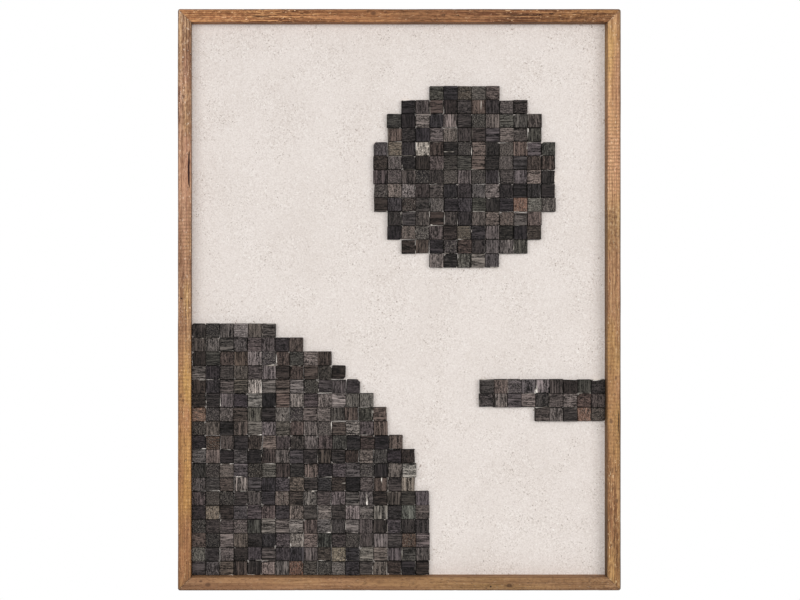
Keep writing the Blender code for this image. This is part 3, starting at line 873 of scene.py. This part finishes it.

    # marks for the stained wood: pale edges, edges darkened as painted shade of the gaps, bare splinters,
    # and each square's kind
    offset = dice.uniform(1, 6, (count, 1, 3))
    grain_at = np.stack([pa, pc * chance(0.75, 1.3), y], axis=-1) + offset
    nearest = np.stack([1 - a, 1 + a, 1 - c, 1 + c]).argmin(axis=0)
    # pale strips along some sides: bare wood, and painted light standing in for the lit gap beside them
    bright = at_nearest(np.where(chance(0, 1, 4) < bright_share, chance(0.5, 1.1, 4), 0.0), nearest)
    bright = bright * np.clip(0.45 + 1.3 * drift(u * 1.5 + 9, c * 2.2 + u, 306), 0, 1)
    # some edges are darkened: painted shade of the gap beside them
    gap_shade = at_nearest(chance(-0.6, 0.95, 4), nearest) * (bright < 0.1)
    by_edge = rim | (ring == 1)
    edge = np.maximum(np.where(by_edge, bright, 0), np.clip(push / 0.0005 - 0.4, 0, 1))
    edge = np.maximum(edge, splinter)
    crack_and_gap_shade = np.maximum(crack_and_gap_shade, np.where(by_edge, gap_shade, 0)) * (1 - splinter)
    # the foot of each side is marked dark as well: painted shade in the gaps
    worn = np.stack([relief * (1 - crack_and_gap_shade), np.maximum(crack_and_gap_shade, (ring == 2) * 1.0), edge], axis=-1)
    strength = chance(0.1, 0.9) + (chance(0, 1) < 0.12) * 0.5
    kind = np.concatenate([speckled * 1.0, strength, chance(0, 1)], axis=1)[:, None, :]
    marks = {label: np.broadcast_to(values, points.shape).reshape(-1, 3) for label, values in
             (("grain", grain_at), ("worn", worn), ("kind", kind), ("cast", tone[:, None, :]))}

    # one shell for each square, each with its own cell of the map
    first = (np.arange(count) * a.size)[:, None]
    shells = (quads[None] + first[:, :, None]).tolist()
    backs = (closing[None] + first).tolist()
    faces = [face for shell, shut in zip(shells, backs) for face in shell + [shut]]
    per_side = math.ceil(math.sqrt(count))
    cell = np.stack([np.arange(count) % per_side, np.arange(count) // per_side], axis=-1)[:, None, :]
    unwrapped = (cell + unwrapped[None] * 0.97 + 0.01) / (per_side, math.ceil(count / per_side))
    return mapped_piece(name, points.reshape(-1, 3), faces, finish, unwrapped.reshape(-1, 2), **marks)


dark_wood, dark, dark_shader = finish_for("dark_wood")
dark_grain = mark(dark, "grain")
relief, crack_and_gap_shade, light_edge = parts(mark(dark, "worn"))
speckled, strength, own = parts(mark(dark, "kind"))
stain = mark(dark, "cast")
dark_shader.inputs["Specular IOR Level"].default_value = 0.15
broad_lines = noise(dark_grain, (17, 300, 260), 4.0, 0.63)
dark_lines = noise(dark_grain, (13, 620, 560), 4.0, 0.63)
pores = noise(dark_grain, (130, 600, 560), 3.0, 0.65)
hair_lines = noise(dark_grain, (40, 2100, 1800), 3.0, 0.6)
dark_rings = dark_grain.node("ShaderNodeTexWave", {"bands_direction": "Y", "wave_profile": "SAW"},
                             {"Vector": dark_grain, "Scale": 165.0, "Distortion": 2.2, "Detail": 2.0,
                              "Detail Scale": 0.35, "Detail Roughness": 0.6})
grit = noise(dark_grain, (430, 430, 430), 4.0, 0.75)
specks = noise(dark_grain, (620, 820, 780), 3.0, 0.65)
straight = strength * (1.0 - speckled * 0.6)
pale = dark.node("ShaderNodeVectorMath", {"operation": "MULTIPLY_ADD"},
                 {0: stain, 1: (4.7, 4.62, 4.5), 2: (0.019, 0.017, 0.0155)})
dark_colour = coats(
    stain,
    # darker where the face lies lower: the grain, and painted shade in its grooves
    ((0.38, 0.37, 0.36), 1.0 - relief),
    ((0.30, 0.29, 0.28), between(dark_rings, 0.55, 1.0) * straight * own),
    ((0.15, 0.14, 0.13), between(1.0 - broad_lines, 0.48, 0.62) * straight),
    ((0.17, 0.16, 0.15), between(1.0 - dark_lines, 0.48, 0.62) * straight),
    ((0.25, 0.24, 0.23), between(1.0 - pores, 0.49, 0.60)),
    ((0.25, 0.24, 0.23), between(1.0 - grit, 0.50, 0.62)), way="MULTIPLY")
dark_colour = coats(
    dark_colour,
    (pale, between(broad_lines, 0.50, 0.63) * straight * 0.80),
    # the pale lines kept to the high parts: painted light on the ridges
    (pale, between(dark_lines, 0.51, 0.63) * straight * relief * 0.84),
    (pale, between(pores, 0.50, 0.62) * 0.40),
    (pale, between(grit, 0.50, 0.62) * (0.16 + own * 0.55)),
    (pale, between(hair_lines, 0.58, 0.72) * 0.32),
    ((0.34, 0.30, 0.26), between(specks, 0.53, 0.63) * speckled * 0.5),
    ((0.010, 0.008, 0.008), between(1.0 - specks, 0.53, 0.63) * speckled * 0.6),
    # near black in the cracks, along the darkened edges and at the foot of each side: painted shade of the
    # cracks and gaps
    ((0.006, 0.005, 0.004), crack_and_gap_shade * 0.9),
    # pale edges: chips, splinters and bare wood, and painted light for the lit gaps beside some edges
    ((0.42, 0.37, 0.32), between(light_edge, 0.2, 0.8) * 0.75),
    ((0.85, 0.80, 0.74), between(light_edge, 0.80, 0.95)))
dark_rise = broad_lines * 0.5 + dark_lines * 0.4 + hair_lines * 0.2 + pores * 0.4 + specks * speckled * 0.5
wear_finish(dark, dark_shader, dark_colour, 0.60 + dark_lines * 0.25, dark_rise, 0.0006)

runs = sorted(node for node in frame["nodes"] if "_row_" in node)
for index, node in enumerate(runs):
    squares = squares_piece(node.replace("_row_", "_squares_"), node, dark_wood, 500 + index)
    settle(squares, "dark_wood", node)

# ---- Hangers ---------------------------------------------------------------------------------
# Two toothed plates of zinc plated steel, let into notches in the back of the top rail, and the
# small round headed nails that hold them.
zinc_steel, zinc, zinc_shader = finish_for("zinc_steel")
zinc_shader.inputs["Metallic"].default_value = 1.0
plate = zinc.node("ShaderNodeTexCoord", output="Object")
rolled = noise(plate, (60, 900, 900), 3.0)
bloom = noise(plate, (240, 240, 240), 4.0, 0.6)
zinc_colour = over((0.44, 0.44, 0.43), (0.25, 0.25, 0.245), between(bloom, 0.42, 0.70))
wear_finish(zinc, zinc_shader, zinc_colour, 0.36 + bloom * 0.3, rolled, 0.0001)
for node in frame["nodes"]:
    if node.startswith("hanger"):
        steel = frame["nodes"][node].data.materials
        steel.clear()
        steel.append(zinc_steel)

low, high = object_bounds()
